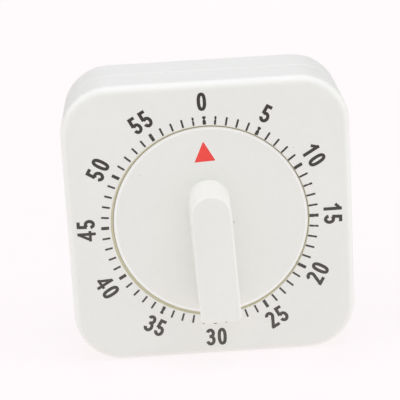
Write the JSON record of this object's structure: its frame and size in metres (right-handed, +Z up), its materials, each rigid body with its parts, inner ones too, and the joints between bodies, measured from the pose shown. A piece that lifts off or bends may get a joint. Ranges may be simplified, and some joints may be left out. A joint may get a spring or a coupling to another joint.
{
  "type": "bench timer",
  "caption": "Square white mechanical bench timer: a bar-handled dial winds a spring that runs down and rings a bell.",
  "frame": {"origin": "centre of the flat bottom that the timer stands on", "axes": "+X to the right seen from the front, +Y from the dial towards the flat back, +Z up"},
  "size_m": [0.07, 0.04, 0.07],
  "materials": {
    "case_white": "smooth satin white moulding",
    "dial_white": "smooth satin white moulding",
    "pointer_red": "red filled mark",
    "steel": "turned steel",
    "spring_steel": "blued spring steel",
    "brass": "stamped brass",
    "bell_chrome": "polished plating",
    "screw_zinc": "zinc plated",
    "hammer_lead": "cast weight"
  },
  "bodies": {
    "case": {"front_case": "case_white", "rear_cover": "case_white", "case_screws": "screw_zinc", "movement_screws": "screw_zinc", "dial_washer": "spring_steel", "front_plate": "brass", "rear_plate": "brass", "plate_pillars": "steel", "pillar_screws": "screw_zinc", "detent_stud": "steel", "detent_spring": "spring_steel", "bell": "bell_chrome", "bell_stud": "steel", "bell_screw": "screw_zinc"},
    "dial": {"dial_knob": "dial_white", "dial_pointer": "pointer_red", "main_arbor": "steel", "great_wheel": "brass", "ratchet_wheel": "steel", "click_stud": "steel", "click_spring": "spring_steel", "release_cam": "brass"},
    "click": {"click_pawl": "steel"},
    "second": {"second_arbor": "steel", "second_wheel": "brass"},
    "third": {"third_arbor": "steel", "third_wheel": "brass"},
    "escapement": {"escape_arbor": "steel", "escape_wheel": "brass"},
    "regulator": {"anchor_arbor": "steel", "pallet_anchor": "brass", "pallet_pins": "steel", "balance_weight": "brass"},
    "barrel": {"spring_barrel": "brass", "barrel_cover": "brass", "mainspring": "spring_steel"},
    "strike": {"strike_arbor": "steel", "strike_wheel": "steel"},
    "hammer": {"hammer_arbor": "steel", "hammer_tail": "steel", "hammer_arm": "steel", "hammer_head": "hammer_lead"},
    "detent": {"detent_lever": "steel"}
  },
  "joints": [
    {"name": "dial_turn", "type": "hinge", "parent": "case", "child": "dial", "pos_m": [0.00018, 0, 0.03508], "axis": [0, 1, 0], "range_deg": [0, 355], "deforming": ["mainspring"]},
    {"name": "click_lift", "type": "hinge", "parent": "dial", "child": "click", "pos_m": [0.00548, 0, 0.04308], "axis": [0, 1, 0], "range_deg": [-10, 0], "deforming": ["click_spring"]},
    {"name": "second_turn", "type": "hinge", "parent": "case", "child": "second", "pos_m": [-0.00904, 0, 0.04995], "axis": [0, 1, 0], "continuous": true},
    {"name": "third_turn", "type": "hinge", "parent": "case", "child": "third", "pos_m": [-0.02011, 0, 0.05169], "axis": [0, 1, 0], "continuous": true},
    {"name": "escape_turn", "type": "hinge", "parent": "case", "child": "escapement", "pos_m": [-0.0231, 0, 0.04089], "axis": [0, 1, 0], "continuous": true},
    {"name": "regulator_rock", "type": "hinge", "parent": "case", "child": "regulator", "pos_m": [-0.02338, 0, 0.0329], "axis": [0, 1, 0], "range_deg": [-7.5, 7.5]},
    {"name": "barrel_turn", "type": "hinge", "parent": "case", "child": "barrel", "pos_m": [0.00018, 0, 0.03508], "axis": [0, 1, 0], "continuous": true},
    {"name": "strike_turn", "type": "hinge", "parent": "case", "child": "strike", "pos_m": [0.01492, 0, 0.02476], "axis": [0, 1, 0], "continuous": true},
    {"name": "hammer_swing", "type": "hinge", "parent": "case", "child": "hammer", "pos_m": [0.02218, 0, 0.01308], "axis": [0, 1, 0], "range_deg": [0, 3.4]},
    {"name": "detent_drop", "type": "hinge", "parent": "case", "child": "detent", "pos_m": [-0.01232, 0, 0.02258], "axis": [0, 1, 0], "range_deg": [-4.5, 0], "deforming": ["detent_spring"]}
  ],
  "couplings": [
    {"joint": "second_turn", "follows": "dial_turn", "ratio": -6},
    {"joint": "third_turn", "follows": "dial_turn", "ratio": 36},
    {"joint": "escape_turn", "follows": "dial_turn", "ratio": -216},
    {"joint": "strike_turn", "follows": "barrel_turn", "ratio": -5}
  ]
}
